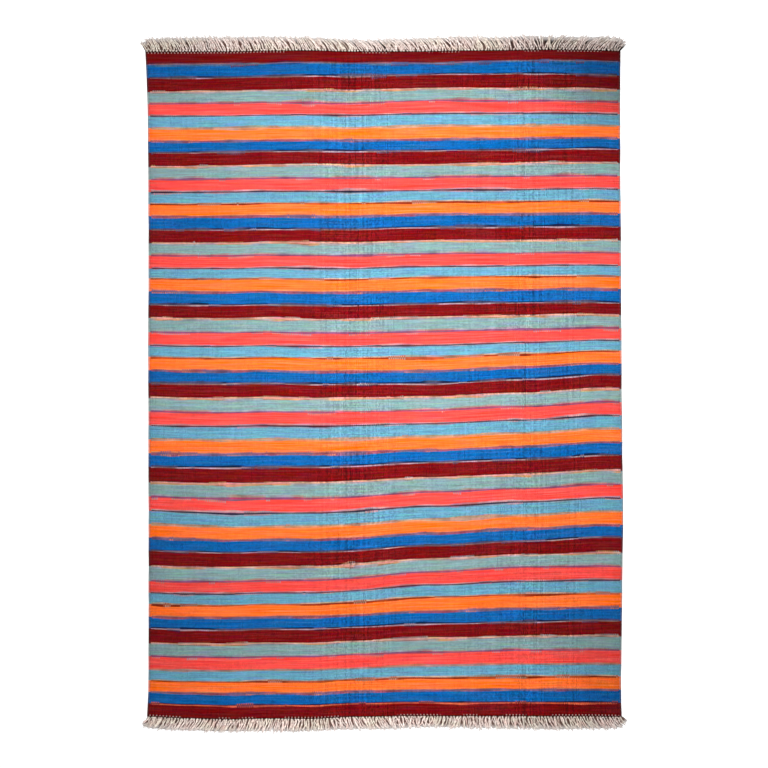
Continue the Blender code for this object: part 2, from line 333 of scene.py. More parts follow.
# Layers of strands: how deep each lies (1 at the bottom), how high it rests, how far its roots are set
# off, how it differs from the top one, and how closely its strands gather at the knots.
Layer = namedtuple("Layer", "depth rest offset count width height reach scatter lock gathered")
LAYERS = rows(Layer, (
    (1.00, 0.0, 0.5, 301, 2.00, 0.4, 0.90, 0.2, 0.2, 0.0),
    (0.30, 0.6, 0.2, 200, 0.80, 0.8, 0.96, 1.5, 0.2, 0.6),
    (0.12, 1.5, 0.0, 215, 0.84, 1.0, 1.00, 1.0, 0.2, 0.6),
))
KNOTS = Layer(0.0, 1.2, 0.0, 146, 1.12, 1.1, 0.0, 0.0, 0.0, 0.0)
KNOT_LENGTH = 6.5
KNOT_DEPTH = 0.05  # less deep than this is a knot
CORNER_FAN = 0.012  # share of the width, at each corner, where the strands fan out
CORNER_TRIM = 0.6  # share of their reach that strands there may lose
CORNER_INSET = 2.0 * MM  # from the field's corner to the first strand
FIRST_ROOT = 0.25  # of a strand's pitch
ROOT_JITTER = 1.6 * MM
REST_SCATTER = 0.8
REACH_SCATTER, REACH_SCATTER_MOST = 0.5, 2.6
LEAN_SCATTER = 1.3
CURL_SCATTER = 1.8 * MM  # how far a strand bows to one side
SWAY_SCATTER = 1.3 * MM  # how far it sways from side to side on its way
SWAY_TURNS = 1.5
LOCK_SIZES = (2, 7)  # neighbouring strands that lean together
KNOT_JITTER = 0.20  # how unevenly the knots are set, as a share of their pitch
GIRTH_SCATTER = 0.12
TONE_SCATTER = 0.18
TINGE, FAINT_TINGE = 0.8, 0.4  # how strongly the red dye has run, at most
STRAND_SIDES = 6
FAR_SEED, NEAR_SEED = 3, 8

# One strand, ring by ring: share of the way to its tip, width and height. It starts with its knot.
Ring = namedtuple("Ring", "along width height")
STRAND_RINGS = rows(Ring, (
    (0.00, 3.2, 2.2), (0.03, 5.0, 3.6), (0.08, 5.4, 4.0), (0.13, 4.0, 2.8),
    (0.20, 4.7, 3.0), (0.30, 5.3, 3.1), (0.40, 5.5, 3.1), (0.50, 5.5, 3.1),
    (0.60, 5.5, 3.1), (0.70, 5.3, 3.0), (0.80, 4.9, 2.8), (0.91, 4.0, 2.2),
    (1.00, 1.6, 1.0),
))
CURVE_RANGE = 10.0  # the size that a curve's full height stands for
GATHER_RISE = (0.02, 0.30)  # where along a strand it spreads from its knot
REST_RISE, ROOT_REST = (0.06, 0.22), 0.25

# Mottles of the cotton, by metres
BLUSH = Mottle(22.0, 40.0, rise=(0.35, 0.65))
AGED = Mottle(9.0, 16.0, start=(7.0, 0.0), rise=(0.42, 0.60))
# Painted shade in patches, for the gaps between the strands
GAP_SHADES = Mottle(150.0, 110.0, rise=(0.56, 0.68))
COTTON_TONES = Mottle(140.0, 130.0, start=(5.0, 0.0))
COTTON_FIBRE = Mottle(1900.0, 900.0, detail=3.0)

# Light and shade in a fringe. Each fall and rise is by the share of the way to a strand's tip, but the
# light on its sides is by its section, from -1 below to 1 above.
SIDE_LIGHT, SIDE_LIGHT_RISE = 0.20, (-0.2, 0.80)
PLY_SHADE, PLY_HEIGHT, FIBRE_HEIGHT = 0.30, 0.35, 0.12
DEPTH_SHADE = 0.86  # at the bottom of the fringe
FOOT_SHADE, FOOT_FALL = 0.92, (0.05, 0.18)
KNOT_FOOT_SHADE, KNOT_FOOT_FALL = 0.60, (0.15, 0.65)
GAP_SHADE_LEAST, GAP_SHADE_TONE = 0.22, 1.2  # the painted shade of the gaps between strands is deeper where the tone is below this one
AGED_SHARE = 0.6
GREEN_WARMTH = 0.8  # how much of the warmth the green takes
TIP_RISE, TIP_SHARE = (0.66, 1.0), 0.7
DEEP_TONE, DEEP_POWER = 1.1, 8.0  # deep strands get painted shade that is darker still where the tone is below this one
COTTON_ROUGHNESS, COTTON_FUZZINESS = 0.80, 0.15
COTTON_SPECULAR = 0.12

# The stage
FLOOR_SIZE = 14.0
FLOOR_DROP = 0.2 * MM  # keeps the floor clear of the rug's underside
FLOOR_ROUGHNESS = 0.95
WHITE = (1.0, 1.0, 1.0, 1.0)
OVERHEAD = (0.16, 0.16, 0.16, 1.0)
WALL_RISE = (0.15, 0.40)  # how far up the walls turn from white to dim
WALL_STRENGTH = 1.275
LAMP_PLACE = (0.05, 0.15)
CAMERA_X = -0.002
CAMERA_REACH = 50.0
LENS = 85.0
SENSOR = 36.0


def linear(colour, light=1.0):
    """The linear value of a colour given from 0 to 255, as a shader takes it. Light scales it."""
    shares = [channel / 255.0 for channel in colour]
    lit = [share / 12.92 if share <= 0.04045 else ((share + 0.055) / 1.055) ** 2.4 for share in shares]
    return tuple(value * light for value in lit) + (1.0,)


def toned(colour, share=1.0, alpha=1.0):
    """A linear colour with only a share of its light, and an alpha."""
    return tuple(channel * share for channel in colour) + (alpha,)


# Node trees ----------------------------------------------------------

def maths(operation, reflected=False):
    """A Python operator for threads that adds a Math node."""
    def apply(thread, other):
        return thread.loom.math(operation, *((other, thread) if reflected else (thread, other)))
    return apply


class Thread:
    """One value on its way through a node tree. An expression on threads adds its own Math nodes."""

    __add__, __radd__ = maths("ADD"), maths("ADD", reflected=True)
    __sub__, __rsub__ = maths("SUBTRACT"), maths("SUBTRACT", reflected=True)
    __mul__, __rmul__ = maths("MULTIPLY"), maths("MULTIPLY", reflected=True)
    __truediv__, __rtruediv__ = maths("DIVIDE"), maths("DIVIDE", reflected=True)
    __pow__, __rpow__ = maths("POWER"), maths("POWER", reflected=True)

    def __init__(self, loom, socket):
        self.loom = loom
        self.socket = socket

    def twin(self, output):
        """Another output of the same node."""
        return Thread(self.loom, self.socket.node.outputs[output])


class Loom:
    """A node tree in the making."""

    def __init__(self, tree):
        self.tree = tree

    def node(self, kind, settings=(), values=(), output=0):
        """Add a node: its settings first, then the values or threads of its sockets. Returns one output."""
        made = self.tree.nodes.new(kind)
        for name, setting in dict(settings).items():
            if name == "stops":
                self.set_stops(made.color_ramp, setting)
            elif name == "curve":
                self.set_curve(made.mapping, setting)
            else:
                setattr(made, name, setting)
        for key, value in dict(values).items():
            if isinstance(value, Thread):
                self.tree.links.new(value.socket, made.inputs[key])
            else:
                made.inputs[key].default_value = value
        return Thread(self, made.outputs[output]) if made.outputs else None

    @staticmethod
    def set_stops(ramp, stops):
        """Give a colour ramp its stops: a place and a colour for each."""
        while len(ramp.elements) < len(stops):
            ramp.elements.new(1.0)
        for element, (place, colour) in zip(ramp.elements, stops):
            element.position = place
            element.color = colour

    @staticmethod
    def set_curve(mapping, points):
        """Lead a float curve through these points, straight from one to the next."""
        curve = mapping.curves[0]
        while len(curve.points) < len(points):
            curve.points.new(1.0, 1.0)
        for point, place in zip(curve.points, points):
            point.location = place
            point.handle_type = "VECTOR"
        mapping.update()

    def math(self, operation, *values):
        """A Math node on these values."""
        return self.node("ShaderNodeMath", {"operation": operation}, enumerate(values))

    def over(self, value, limit):
        """1 where the value is above the limit, and 0 elsewhere."""
        return self.math("GREATER_THAN", value, limit)

    def under(self, value, limit):
        """1 where the value is below the limit, and 0 elsewhere."""
        return self.math("LESS_THAN", value, limit)

    def floor(self, value):
        """The whole number at or below the value."""
        return self.math("FLOOR", value)

    def cycle(self, value, length):
        """What is left of the value after whole cycles."""
        return self.math("FLOORED_MODULO", value, length)

    def size(self, value):
        """The value without its sign."""
        return self.math("ABSOLUTE", value)

    def sides(self, share):
        """0 in the middle of a rib, bar or ply, and 1 at both sides."""
        return self.size(share * 2.0 - 1.0)

    def smooth(self, value, low, high):
        """0 below low and 1 above high, with a smooth rise between them."""
        settings = {"interpolation_type": "SMOOTHSTEP"}
        return self.node("ShaderNodeMapRange", settings, {"Value": value, "From Min": low, "From Max": high})

    def fall(self, value, low, high):
        """1 below low and 0 above high."""
        return 1.0 - self.smooth(value, low, high)

    def curve(self, points, at, full=1.0):
        """A curve through points, read at a place. Its full height stands for a value."""
        shares = [(place, value / full) for place, value in points]
        return self.node("ShaderNodeFloatCurve", {"curve": shares}, {"Value": at}) * full

    def read(self, table, name, at, full=1.0):
        """A column of a table whose first column is the place."""
        return self.curve([(row[0], getattr(row, name)) for row in table], at, full)

    def vector_math(self, operation, *values):
        """A Vector Math node on these vectors or colours."""
        return self.node("ShaderNodeVectorMath", {"operation": operation}, enumerate(values))

    def scaled(self, colour, factor):
        """A colour or vector made lighter, darker, longer or shorter."""
        return self.node("ShaderNodeVectorMath", {"operation": "SCALE"}, {"Vector": colour, "Scale": factor})

    def vector(self, x, y, z=0.0):
        """A vector or colour from its three parts."""
        return self.node("ShaderNodeCombineXYZ", (), {"X": x, "Y": y, "Z": z})

    def parts(self, vector):
        """The three parts of a vector or colour."""
        x = self.node("ShaderNodeSeparateXYZ", (), {"Vector": vector})
        return x, x.twin("Y"), x.twin("Z")

    def mix(self, share, start, end):
        """From one colour to another."""
        return self.node("ShaderNodeMix", {"data_type": "RGBA"}, {0: share, 6: start, 7: end}, output=2)

    def attribute(self, name, output="Fac"):
        """A fact stored on the mesh, as a material reads it."""
        return self.node("ShaderNodeAttribute", {"attribute_name": name}, output=output)

    def noise(self, mottle, first, second):
        """Smooth random noise round 0.5."""
        spread = (mottle.first, mottle.second, 0.0)
        place = self.vector_math("MULTIPLY_ADD", self.vector(first, second), spread, mottle.start + (0.0,))
        values = {"Vector": place, "Scale": 1.0, "Detail": mottle.detail}
        return self.node("ShaderNodeTexNoise", {"noise_dimensions": "2D"}, values)

    def uneven(self, mottle, first, second):
        """Noise round 0, as strong as the mottle says."""
        return (self.noise(mottle, first, second) - 0.5) * mottle.swing

    def patches(self, mottle, first, second):
        """1 in some patches and 0 between them."""
        return self.smooth(self.noise(mottle, first, second), *mottle.rise)

    def chance(self, number, other=None):
        """A random share for each whole number, or for each pair of them."""
        if other is None:
            return self.node("ShaderNodeTexWhiteNoise", {"noise_dimensions": "1D"}, {"W": number})
        pair = self.vector(number, other)
        return self.node("ShaderNodeTexWhiteNoise", {"noise_dimensions": "2D"}, {"Vector": pair})

    def is_one_of(self, number, wanted):
        """1 where the number is one of those wanted, and 0 elsewhere."""
        found = 0.0
        for one in wanted:
            settings = {"operation": "COMPARE"}
            found = self.node("ShaderNodeMath", settings, {0: number, 1: float(one), 2: 0.25}) + found
        return found

    def bump(self, height):
        """A normal from a height in millimetres."""
        return self.node("ShaderNodeBump", (), {"Strength": 1.0, "Distance": MM, "Height": height})


def new_finish(name, specular=None):
    """A material with a Principled shader. Returns it with its loom and its shader node."""
    material = bpy.data.materials.new(name)
    material.use_nodes = True
    shader = material.node_tree.nodes["Principled BSDF"]
    if specular is not None:
        shader.inputs["Specular IOR Level"].default_value = specular
    return material, Loom(material.node_tree), shader


def feed(loom, shader, **threads):
    """Link threads to the shader's sockets of these names."""
    for name, thread in threads.items():
        loom.tree.links.new(thread.socket, shader.inputs[name.replace("_", " ").title()])


# Shape of the field --------------------------------------------------

def eased(places, values, at):
    """Values of a table read at any places, easing from one row to the next."""
    places = np.asarray(places, float)
    values = np.asarray(values, float)
    at = np.clip(at, places[0], places[-1])
    after = np.clip(np.searchsorted(places, at), 1, len(places) - 1)
    share = (at - places[after - 1]) / (places[after] - places[after - 1])
    ease = share * share * (3.0 - 2.0 * share)
    return values[after - 1] + (values[after] - values[after - 1]) * ease


def half_sizes(usual, table, at):
    """How far out two facing edges lie: half the usual size, and as much more as the table says."""
    places, *columns = zip(*table)
    return [usual / 2 + eased(places, column, at) * MM for column in columns]


def side_edges(along):
    """X of the left and the right edge."""
    left, right = half_sizes(FIELD_WIDTH, SIDE_WANDER, along)
    return CENTRING[0] - left, CENTRING[0] + right


def end_edges(across):
    """Y of the far and the near end."""
    far, near = half_sizes(FIELD_LENGTH, END_WANDER, across)
    return CENTRING[1] + far, CENTRING[1] - near


def drift(line, across):
    """How far a stripe line drifts towards the far end."""
    lines, *columns = zip(*DRIFTS)
    return eased(DRIFT_PLACES, [np.interp(line, lines, column) for column in columns], across) * MM


def swell(x, y):
    """How far the cloth's upper face rises or dips where it lies a little uneven."""
    turn = 2 * math.pi / SWELL_LENGTH
    across = np.cos(turn * SWELL_CROSS_SHARE * x + SWELL_SHIFT)
    return SWELL_HEIGHT * np.sin(turn * (y + SWELL_SLANT * x)) * across


def field_columns(ribs, relief):
    """The columns across the field: share of the width, offset from there, height, and if it swells."""
    columns = [(0.0, row.inset * MM, row.height * MM, False) for row in SELVEDGE_SECTION]
    steps = ribs * len(RIB_SECTION)
    for step in range(1, steps):
        share = step / steps
        height = WEAVE_THICKNESS + relief * RIB_SECTION[step % len(RIB_SECTION)]
        columns.append((share, SELVEDGE_WIDTH * (1 - 2 * share), height, True))
    columns += [(1.0, -row.inset * MM, row.height * MM, False) for row in reversed(SELVEDGE_SECTION)]
    return np.array(columns, float).T


def field_rows():
    """The rows along the field, counted in stripes, with one more by each end for its rounding."""
    first = END_ROUNDING / (FIRST_MAROON * MM)
    last = STRIPES - END_ROUNDING / (LAST_MAROON * MM)
    return [0.0, first] + [float(line) for line in range(1, STRIPES)] + [last, float(STRIPES)]


def field_grid(ribs, relief):
    """Places and weft coordinates of the upper face, as arrays of rows by columns."""
    share, offset, height, swells = field_columns(ribs, relief)
    across = (share * FIELD_WIDTH + offset) / FIELD_WIDTH
    lines = np.concatenate(([0.0], np.cumsum(STRIPE_HEIGHTS))) / float(sum(STRIPE_HEIGHTS))
    far, near = end_edges(across)
    draw = random.Random(EDGE_SEED)
    places = []
    weft = []
    for row in field_rows():
        y = far + (near - far) * np.interp(row, range(STRIPES + 1), lines) + drift(row, across)
        left, right = side_edges((far - y) / (far - near))
        jitter = np.where(share < 0.5, draw.uniform(-1, 1), draw.uniform(-1, 1)) * EDGE_JITTER
        x = left + (right - left) * share + offset + jitter * np.abs(1 - 2 * share) ** EDGE_JITTER_POWER
        z = height + swells * swell(x, y)
        if row in (0.0, float(STRIPES)):
            z = z * END_EDGE_SHARE
        places.append(np.stack([x, y, z], axis=1))
        weft.append(np.stack([across, np.full_like(x, row / STRIPES)], axis=1))
    return np.array(places), np.array(weft)


def grid_faces(index, downwards=False):
    """Faces between the rows of a grid of points."""
    faces = []
    for upper, lower in zip(index.tolist(), index[1:].tolist()):
        if downwards:
            faces += zip(upper, upper[1:], lower[1:], lower)
        else:
            faces += zip(upper, lower, lower[1:], upper[1:])
    return faces


def close_field(places, weft):
    """Close the upper face with walls and a flat underside of few faces. Returns points, faces and weft."""
    count, columns = places.shape[:2]
    index = np.arange(count * columns).reshape(count, columns)
    kept = list(range(0, columns - 1, UNDER_STEP)) + [columns - 1]
    under = places[:, kept[1:-1]].copy()
    under[:, :, 2] = 0.0
    inner = count * columns + np.arange(count * (len(kept) - 2)).reshape(count, len(kept) - 2)
    bottom = np.concatenate([index[:, :1], inner, index[:, -1:]], axis=1)
    faces = grid_faces(index) + grid_faces(bottom, downwards=True)
    for row, turn in ((0, 1), (count - 1, -1)):
        for step, (start, stop) in enumerate(zip(kept, kept[1:])):
            top = index[row, start:stop + 1].tolist()
            low = [int(bottom[row, step + 1]), int(bottom[row, step])]
            loop = top + [point for point in low if point not in top]
            faces.append(tuple(loop[::turn]))
    points = np.concatenate([places.reshape(-1, 3), under.reshape(-1, 3)])
    coordinates = np.concatenate([weft.reshape(-1, 2), weft[:, kept[1:-1]].reshape(-1, 2)])
    return points, faces, coordinates


def finished_object(name, mesh):
    """Put a mesh into the scene with smooth faces."""
    mesh.validate()
    mesh.shade_smooth()
    obj = bpy.data.objects.new(name, mesh)
    bpy.context.scene.collection.objects.link(obj)
    return obj


def build_field(settings):
    """The woven field as one closed sheet with raised ribs, and its weft coordinates as a UV map."""
    points, faces, weft = close_field(*field_grid(settings.ribs, settings.rib_relief))
    mesh = bpy.data.meshes.new("rug_field")
    mesh.from_pydata(points.tolist(), [], faces)
    corners = np.zeros(len(mesh.loops), np.int32)
    mesh.loops.foreach_get("vertex_index", corners)
    uv_map = mesh.uv_layers.new(name=WEFT_MAP)
    uv_map.uv.foreach_set("vector", weft[corners].astype(np.float32).ravel())
    return finished_object("rug_field", mesh)


# Finish of the field -------------------------------------------------

def border_stops(bands, which, light):
    """Stops of a ramp that shows the bands of one border, and nothing beside them."""
    stops = []
    for band in bands:
        colour = linear(getattr(band, which), light)
        stops += [(band.start + BAND_BLUR, colour), (band.stop - BAND_BLUR, colour)]
    first, last = stops[0][1], stops[-1][1]
    stops.insert(0, (bands[0].start - BAND_BLUR, first[:3] + (0.0,)))
    stops.append((bands[-1].stop + BAND_BLUR, last[:3] + (0.0,)))
    return [(0.5 + distance / (2 * BORDER_REACH), colour) for distance, colour in stops]


def border_colours(loom, line, distance, swap, light):
    """Colour of the borders and where they show, from the nearest line's number and the distance from it."""
    kind = loom.cycle(line, float(KINDS))
    place = distance / (2 * BORDER_REACH) + 0.5
    colour, shows = (0.0, 0.0, 0.0, 1.0), 0.0
    for border in BORDERS.values():
        chosen = loom.is_one_of(line, border.only) if border.only else loom.is_one_of(kind, (border.every,))
        usual, other = (
            loom.node("ShaderNodeValToRGB", {"stops": border_stops(border.bands, which, light)}, {0: place})
            for which in ("colour", "other")
        )
        colour = loom.mix(chosen, colour, loom.mix(swap, usual, other))
        shows = loom.node("ShaderNodeMix", (), {0: chosen, 2: shows, 3: usual.twin("Alpha")})
    return colour, shows


def stripe_colour(loom, settings, stripe):
    """The dye of a stripe and how grainy it looks, from its number. Stripe 0 is maroon out of turn."""
    share = settings.light_share
    stops = [
        (number / KINDS, toned(getattr(settings, name), share, getattr(GRAINS, name)))
        for number, name in enumerate(Grain._fields)
    ]
    kind = loom.cycle(stripe, float(KINDS))
    ramp = loom.node("ShaderNodeValToRGB", {"stops": stops}, {0: (kind + 0.5) / float(KINDS)})
    ramp.socket.node.color_ramp.interpolation = "CONSTANT"
    colour = loom.mix(loom.under(stripe, 0.5), ramp, toned(settings.maroon, share))
    return colour, ramp.twin("Alpha")


# Where a spot of the field lies: in metres, by shares, in millimetres, on which rib and on which bar of weft.
# Laid is its bar's place along the rug, woven its own place with the wander of the lines, and whole without.
Spot = namedtuple(
    "Spot", "x y share course across edge on_cloth rib rib_number bar bar_number laid woven whole"
)


def find_spot(loom, settings):
    """All the places of a spot, from the field's own map of the weft."""
    share, course, _ = loom.parts(loom.node("ShaderNodeUVMap", {"uv_map": WEFT_MAP}))
    x, y, _ = loom.parts(loom.node("ShaderNodeTexCoord", output="Object"))
    across = share * WIDTH_MM
    edge = loom.math("MINIMUM", across, WIDTH_MM - across)
    rib = (across - SELVEDGE_MM) * (settings.ribs / (WIDTH_MM - 2 * SELVEDGE_MM))
    rib_number = loom.floor(rib)
    on_cloth = loom.over(edge, SELVEDGE_MM - CORD_OVERLAP)
    shift = loom.cycle(rib_number, 2.0) * 0.5 * on_cloth
    wander = loom.uneven(LINE_WANDER, x, y) + loom.uneven(LINE_WAVER, x, y)
    whole = course * LENGTH_MM
    woven = whole + wander * (settings.line_wander / MM)
    woven = loom.math("MINIMUM", loom.math("MAXIMUM", woven, LEAST_WOVEN), LENGTH_MM - LEAST_WOVEN)
    bar_size = settings.weft_bar / MM
    bar = woven / bar_size + shift
    bar_number = loom.floor(bar)
    laid = (bar_number + 0.5 - shift) * bar_size
    return Spot(
        x, y, share, course, across, edge, on_cloth, rib, rib_number, bar, bar_number, laid, woven, whole
    )


def striped(loom, settings, spot):
    """Stripes and borders, which in places show as beads. Also each stripe's number and graininess."""
    place = spot.laid / STRIPE_PITCH
    stripe = loom.floor(place)
    colour, graininess = stripe_colour(loom, settings, stripe)
    line = loom.floor(place + 0.5)
    width = 1.0 + loom.uneven(BORDER_WIDTHS, spot.x, line)
    swap = loom.patches(BORDER_SWAPS, spot.x + line * SWAP_SHIFT, line)
    beaded = loom.over(loom.noise(BORDER_BEADS, spot.x, line), BEADS_OVER)
    beads = 1.0 - loom.cycle(spot.rib_number, 2.0) * beaded * 2.0
    distance = (place - line) * STRIPE_PITCH * width * beads
    bands, shows = border_colours(loom, line, distance, swap, settings.light_share)
    bands = loom.scaled(bands, 1.0 + loom.uneven(BORDER_TONES, spot.x, line))
    between = loom.over(line, 0.5) * loom.under(line, STRIPES - 0.5)
    inset = BORDER_INSET + loom.chance(line) * INSET_SCATTER
    shows = shows * between * loom.smooth(spot.edge, inset - INSET_BLUR, inset + INSET_BLUR)
    return loom.mix(shows, colour, bands), stripe, graininess


def wool_tone(loom, spot, stripe, graininess):
    """How light the wool is, from one stripe, streak, rib and bead of weft to the next, with painted light
    and shade across and along it, and painted shade near the right corners.
    """
    stripe_tone = (loom.chance(stripe + STRIPE_SEED) - 0.5) * STRIPE_TONE
    streak_tone = loom.uneven(STREAKS, spot.x, spot.laid)
    bar_tone = loom.uneven(BAR_TONES, spot.x + spot.bar_number * BAR_SHIFT, spot.laid)
    bar_tone = bar_tone * (BAR_TONE_PLAIN + graininess * BAR_TONE_GRAINY)
    ribbing = loom.read(STRIPS, "strength", spot.share)
    rib_chance = loom.chance(spot.rib_number) + loom.chance(spot.rib_number, stripe) - 1.0
    bead_chance = loom.chance(spot.rib_number, loom.floor(spot.bar * 0.5)) - 0.5
    grain = ribbing * (rib_chance * RIB_GRAIN + bead_chance * BEAD_GRAIN) + bead_chance * PLAIN_GRAIN
    # Painted light and shade across and along the rug, and painted shade in its right corners
    across = loom.read(PAINTED_LIGHT_ACROSS, "tone", spot.share, PAINTED_LIGHT_RANGE)
    along = loom.read(PAINTED_LIGHT_ALONG, "tone", spot.course, PAINTED_LIGHT_RANGE)
    far = loom.fall(spot.course, CORNER_SHADE_FAR.start, CORNER_SHADE_FAR.stop) * CORNER_SHADE_FAR.depth
    near = loom.smooth(spot.course, CORNER_SHADE_NEAR.start, CORNER_SHADE_NEAR.stop) * CORNER_SHADE_NEAR.depth
    dim = 1.0 - loom.smooth(spot.share, *CORNER_SHADE_SIDE) * (far + near)
    return (1.0 + stripe_tone + streak_tone + bar_tone + graininess * grain) * across * along * dim


def unevenly_dyed(loom, spot, tone, colour):
    """The wool's colour with its tone, and with tints that come and go along the weft."""
    strength = 1.0 + loom.uneven(DYE_STRENGTHS, spot.x, spot.laid)
    values = {"Saturation": strength, "Value": tone, "Color": colour}
    colour = loom.node("ShaderNodeHueSaturation", (), values)
    tint = loom.noise(TINTS, spot.x, spot.laid).twin("Color")
    tint = loom.vector_math("SUBTRACT", tint, (0.5, 0.5, 0.5))
    paleness = loom.parts(colour)[1]
    tinted = loom.vector_math("MULTIPLY", colour, loom.scaled(tint, TINT_PLAIN + paleness * TINT_PALE))
    return loom.vector_math("ADD", loom.vector_math("ADD", colour, tinted), loom.scaled(tint, TINT_BLACK))


def shaded(loom, spot, bar_edge, warp, colour):
    """Painted shade in the troughs, between the bars, along the grooves and under the knots, painted light on
    the outermost faces of the cords, and painted shade that greys the cords' rims.
    """
    edge, share = spot.edge, spot.share
    rib_edge = loom.sides(spot.rib - spot.rib_number)
    shade = 1.0 - rib_edge ** SHADE_POWER * RIB_SHADE * spot.on_cloth - bar_edge ** SHADE_POWER * BAR_SHADE
    groove = loom.fall(loom.size(edge - GROOVE_PLACE), *GROOVE_FALL)
    shade = shade * (1.0 - groove * (GROOVE_SHADE + loom.under(share, 0.5) * LEFT_GROOVE_SHADE))
    # Painted light on the outermost faces of the cords
    outermost = loom.fall(edge, *OUTERMOST_FALL)
    shade = shade * (1.0 - loom.fall(edge, *SIDE_RISE) * SIDE_SHADE) * (1.0 + outermost * OUTERMOST_LIGHT)
    end = loom.math("MINIMUM", spot.whole, LENGTH_MM - spot.whole)
    shade = shade * (END_LIGHT + loom.smooth(end, *END_RISE) * (1.0 - END_LIGHT))
    under_knot = loom.under(loom.cycle(spot.rib_number, RIBS_PER_KNOT), 0.5)
    ragged = loom.patches(RAGGED_END, spot.x, spot.y)
    shade = shade * (1.0 - loom.fall(end, *RAGGED_FALL) * ragged * (1.0 - under_knot) * RAGGED_SHADE)
    peeping = under_knot * loom.fall(loom.size(end - PEEP_PLACE), *PEEP_FALL) * ragged * PEEP_SHARE
    colour = loom.mix(peeping, loom.scaled(colour, shade), warp)
    # Painted shade that greys the rims of the cords
    rim_grey = loom.node("ShaderNodeRGBToBW", (), {"Color": colour}, output="Val")
    rim = loom.fall(edge, *RIM_FALL) * (1.0 - outermost)
    return loom.mix(rim * RIM_SHADE_SHARE, colour, rim_grey * RIM_GREY_LIGHT)


def wool_finish(settings):
    """Weft-faced wool: bars of weft laid over the ribs like bricks, in stripes with thin borders."""
    material, loom, shader = new_finish("striped_wool", WOOL_SPECULAR)
    spot = find_spot(loom, settings)
    colour, stripe, graininess = striped(loom, settings, spot)
    colour = unevenly_dyed(loom, spot, wool_tone(loom, spot, stripe, graininess), colour)
    bar_edge = loom.sides(spot.bar - spot.bar_number)
    colour = shaded(loom, spot, bar_edge, toned(settings.warp, settings.light_share), colour)
    relief = (1.0 - bar_edge ** BAR_ROUNDNESS) * (settings.weft_relief / MM)
    twist = loom.uneven(WEFT_TWIST, spot.across + spot.laid * TWIST_SHIFT, spot.woven)
    fuzz = loom.noise(WOOL_FUZZ, spot.x, spot.y)
    normal = loom.bump(relief + twist + fuzz * FUZZ_HEIGHT)
    roughness = WOOL_ROUGHNESS + fuzz * WOOL_FUZZINESS
    feed(loom, shader, base_color=colour, roughness=roughness, normal=normal)
    return material


# Fringes -------------------------------------------------------------

def lock_leans(draw, count):
    """Leans in units of scatter for a row of strands, the same for the few neighbours that make a lock."""
    leans = []
    while len(leans) < count:
        leans += [draw.gauss(0, 1)] * draw.randint(*LOCK_SIZES)
    return leans[:count]


def strand_facts(draw, lay, layer, across, outward, lock_lean, spread):
    """What one strand or knot needs to know, such as its tip, its bow, its girth and its tone."""
    places, *columns = zip(*lay)
    reach, lean, scatter, tone = (float(eased(places, column, across)) for column in columns)
    scatter *= layer.scatter
    corner = max(0.0, 1.0 - min(across, 1.0 - across) / CORNER_FAN)
    reach = reach * layer.reach * (1.0 - corner * draw.uniform(0.0, CORNER_TRIM))
    reach += draw.gauss(0, 1) * min(scatter * REACH_SCATTER, REACH_SCATTER_MOST)
    if layer is KNOTS:
        reach, lean = KNOT_LENGTH, 0.0
    lean += (lock_lean * layer.lock + draw.gauss(0, LEAN_SCATTER)) * scatter
    return {
        "tip": (lean * MM, outward * reach * MM, 0.0),
        "rest": (layer.rest + draw.uniform(0.0, REST_SCATTER)) * MM,
        "curl": draw.gauss(0, 1) * CURL_SCATTER * layer.scatter,
        "sway": draw.gauss(0, 1) * SWAY_SCATTER * layer.scatter,
        "spread": spread,
        "phase": draw.uniform(0, 2) * math.pi,
        "girth": layer.width * (1.0 + draw.uniform(-1, 1) * GIRTH_SCATTER),
        "stoutness": layer.height,
        "tone": tone * (1.0 + draw.uniform(-1, 1) * TONE_SCATTER),
        "depth": layer.depth,
        "tinge": draw.uniform(0, 1) * (TINGE if layer is KNOTS or outward < 0 else FAINT_TINGE),
    }


def fringe_roots(name, lay, outward, fullness, seed):
    """The roots of one fringe as points in a row, each with what its strand needs to know."""
    draw = random.Random(seed)
    end = 0 if outward > 0 else 1
    left, right = (float(edge) for edge in side_edges(float(end)))
    left, right = left + CORNER_INSET, right - CORNER_INSET
    knots = KNOTS.count
    knot_places = [(number + 0.5 + draw.uniform(-1, 1) * KNOT_JITTER) / knots for number in range(knots)]
    points, facts = [], []
    for layer in LAYERS + (KNOTS,):
        count = knots if layer is KNOTS else round(fullness * layer.count)
        leans = lock_leans(draw, count)
        for number in range(count):
            jitter = draw.uniform(-1, 1) * ROOT_JITTER / FIELD_WIDTH
            share = min(max((number + FIRST_ROOT + layer.offset) / count + jitter, 0.0), 1.0)
            knot = knot_places[min(int(share * knots), knots - 1)]
            place = share + (knot - share) * layer.gathered
            if layer is KNOTS:
                share = place = knot_places[number]
            points.append((left + (right - left) * place, float(end_edges(place)[end]), 0.0))
            spread = (share - place) * (right - left)
            facts.append(strand_facts(draw, lay, layer, share, outward, leans[number], spread))
    mesh = bpy.data.meshes.new(name)
    mesh.from_pydata(points, [], [])
    for fact in facts[0]:
        values = np.array([row[fact] for row in facts], np.float32)
        kind, field = ("FLOAT_VECTOR", "vector") if fact == "tip" else ("FLOAT", "value")
        mesh.attributes.new(fact, kind, "POINT").data.foreach_set(field, values.ravel())
    return finished_object(name, mesh)


